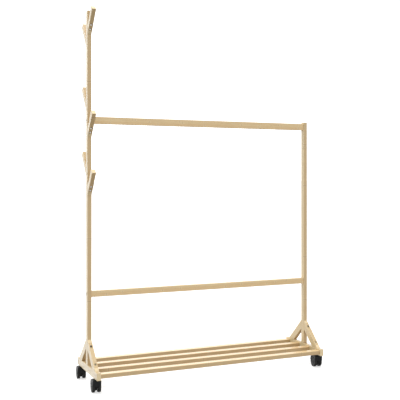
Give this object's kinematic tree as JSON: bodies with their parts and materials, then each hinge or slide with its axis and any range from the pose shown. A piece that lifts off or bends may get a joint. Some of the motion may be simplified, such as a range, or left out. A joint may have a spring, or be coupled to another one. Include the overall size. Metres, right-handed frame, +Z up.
{
  "type": "rolling clothes rack",
  "caption": "Bamboo clothes rack on swivel casters: hanging rail, lower rail and slatted shelf between a short post and a tall post with coat hooks.",
  "frame": {"origin": "on the floor, midway between the two ends and midway along the foot beams", "axes": "+X along the rails from the tall post to the short post, +Y along the foot beams from front to back, +Z up"},
  "size_m": [1.2401, 0.3535, 1.792],
  "materials": {
    "bamboo": "clear satin lacquer over laminated bamboo strips",
    "dark_steel": "blackened, slightly oiled",
    "bright_zinc": "bright zinc plate",
    "stem_steel": "dull zinc plate",
    "hood_plastic": "black moulded nylon with a fine texture",
    "wheel_plastic": "black nylon, scuffed on the tread"
  },
  "bodies": {
    "rack_frame": {"foot_beam_left": "bamboo", "foot_beam_right": "bamboo", "post_left": "bamboo", "post_right": "bamboo", "brace_left_front": "bamboo", "brace_left_back": "bamboo", "brace_right_front": "bamboo", "brace_right_back": "bamboo", "hanging_rail": "bamboo", "lower_rail": "bamboo", "shelf_slat_1": "bamboo", "shelf_slat_2": "bamboo", "shelf_slat_3": "bamboo", "shelf_slat_4": "bamboo", "coat_hook_front_1": "bamboo", "coat_hook_front_2": "bamboo", "coat_hook_front_3": "bamboo", "coat_hook_back_1": "bamboo", "coat_hook_back_2": "bamboo", "coat_hook_back_3": "bamboo", "brace_bolt_left_front_upper": "dark_steel", "brace_bolt_left_front_lower": "dark_steel", "brace_bolt_left_back_upper": "dark_steel", "brace_bolt_left_back_lower": "dark_steel", "brace_bolt_right_front_upper": "dark_steel", "brace_bolt_right_front_lower": "dark_steel", "brace_bolt_right_back_upper": "dark_steel", "brace_bolt_right_back_lower": "dark_steel", "hook_screw_front_1_lower": "bright_zinc", "hook_screw_front_1_upper": "bright_zinc", "hook_screw_front_2_lower": "bright_zinc", "hook_screw_front_2_upper": "bright_zinc", "hook_screw_front_3_lower": "bright_zinc", "hook_screw_front_3_upper": "bright_zinc", "hook_screw_back_1_lower": "bright_zinc", "hook_screw_back_1_upper": "bright_zinc", "hook_screw_back_2_lower": "bright_zinc", "hook_screw_back_2_upper": "bright_zinc", "hook_screw_back_3_lower": "bright_zinc", "hook_screw_back_3_upper": "bright_zinc", "caster_front_left_stem": "stem_steel", "caster_back_left_stem": "stem_steel", "caster_front_right_stem": "stem_steel", "caster_back_right_stem": "stem_steel"},
    "caster_front_left_swivel": {"caster_front_left_hood": "hood_plastic", "caster_front_left_axle": "stem_steel"},
    "caster_front_left_wheel_a": {"caster_front_left_wheel_a": "wheel_plastic"},
    "caster_front_left_wheel_b": {"caster_front_left_wheel_b": "wheel_plastic"},
    "caster_back_left_swivel": {"caster_back_left_hood": "hood_plastic", "caster_back_left_axle": "stem_steel"},
    "caster_back_left_wheel_a": {"caster_back_left_wheel_a": "wheel_plastic"},
    "caster_back_left_wheel_b": {"caster_back_left_wheel_b": "wheel_plastic"},
    "caster_front_right_swivel": {"caster_front_right_hood": "hood_plastic", "caster_front_right_axle": "stem_steel"},
    "caster_front_right_wheel_a": {"caster_front_right_wheel_a": "wheel_plastic"},
    "caster_front_right_wheel_b": {"caster_front_right_wheel_b": "wheel_plastic"},
    "caster_back_right_swivel": {"caster_back_right_hood": "hood_plastic", "caster_back_right_axle": "stem_steel"},
    "caster_back_right_wheel_a": {"caster_back_right_wheel_a": "wheel_plastic"},
    "caster_back_right_wheel_b": {"caster_back_right_wheel_b": "wheel_plastic"}
  },
  "joints": [
    {"name": "caster_front_left_swivel_turn", "type": "hinge", "parent": "rack_frame", "child": "caster_front_left_swivel", "pos_m": [-0.597, -0.133, 0.062], "axis": [0, 0, 1], "continuous": true},
    {"name": "caster_front_left_wheel_a_roll", "type": "hinge", "parent": "caster_front_left_swivel", "child": "caster_front_left_wheel_a", "pos_m": [-0.5827, -0.11869, 0.0255], "axis": [0.9962, -0.0872, 0], "continuous": true},
    {"name": "caster_front_left_wheel_b_roll", "type": "hinge", "parent": "caster_front_left_swivel", "child": "caster_front_left_wheel_b", "pos_m": [-0.6086, -0.11643, 0.0255], "axis": [0.9962, -0.0872, 0], "continuous": true},
    {"name": "caster_back_left_swivel_turn", "type": "hinge", "parent": "rack_frame", "child": "caster_back_left_swivel", "pos_m": [-0.597, 0.133, 0.062], "axis": [0, 0, 1], "continuous": true},
    {"name": "caster_back_left_wheel_a_roll", "type": "hinge", "parent": "caster_back_left_swivel", "child": "caster_back_left_wheel_a", "pos_m": [-0.5827, 0.14731, 0.0255], "axis": [0.9962, -0.0872, 0], "continuous": true},
    {"name": "caster_back_left_wheel_b_roll", "type": "hinge", "parent": "caster_back_left_swivel", "child": "caster_back_left_wheel_b", "pos_m": [-0.6086, 0.14957, 0.0255], "axis": [0.9962, -0.0872, 0], "continuous": true},
    {"name": "caster_front_right_swivel_turn", "type": "hinge", "parent": "rack_frame", "child": "caster_front_right_swivel", "pos_m": [0.597, -0.133, 0.062], "axis": [0, 0, 1], "continuous": true},
    {"name": "caster_front_right_wheel_a_roll", "type": "hinge", "parent": "caster_front_right_swivel", "child": "caster_front_right_wheel_a", "pos_m": [0.6113, -0.11869, 0.0255], "axis": [0.9962, -0.0872, 0], "continuous": true},
    {"name": "caster_front_right_wheel_b_roll", "type": "hinge", "parent": "caster_front_right_swivel", "child": "caster_front_right_wheel_b", "pos_m": [0.5854, -0.11643, 0.0255], "axis": [0.9962, -0.0872, 0], "continuous": true},
    {"name": "caster_back_right_swivel_turn", "type": "hinge", "parent": "rack_frame", "child": "caster_back_right_swivel", "pos_m": [0.597, 0.133, 0.062], "axis": [0, 0, 1], "continuous": true},
    {"name": "caster_back_right_wheel_a_roll", "type": "hinge", "parent": "caster_back_right_swivel", "child": "caster_back_right_wheel_a", "pos_m": [0.6113, 0.14731, 0.0255], "axis": [0.9962, -0.0872, 0], "continuous": true},
    {"name": "caster_back_right_wheel_b_roll", "type": "hinge", "parent": "caster_back_right_swivel", "child": "caster_back_right_wheel_b", "pos_m": [0.5854, 0.14957, 0.0255], "axis": [0.9962, -0.0872, 0], "continuous": true}
  ]
}
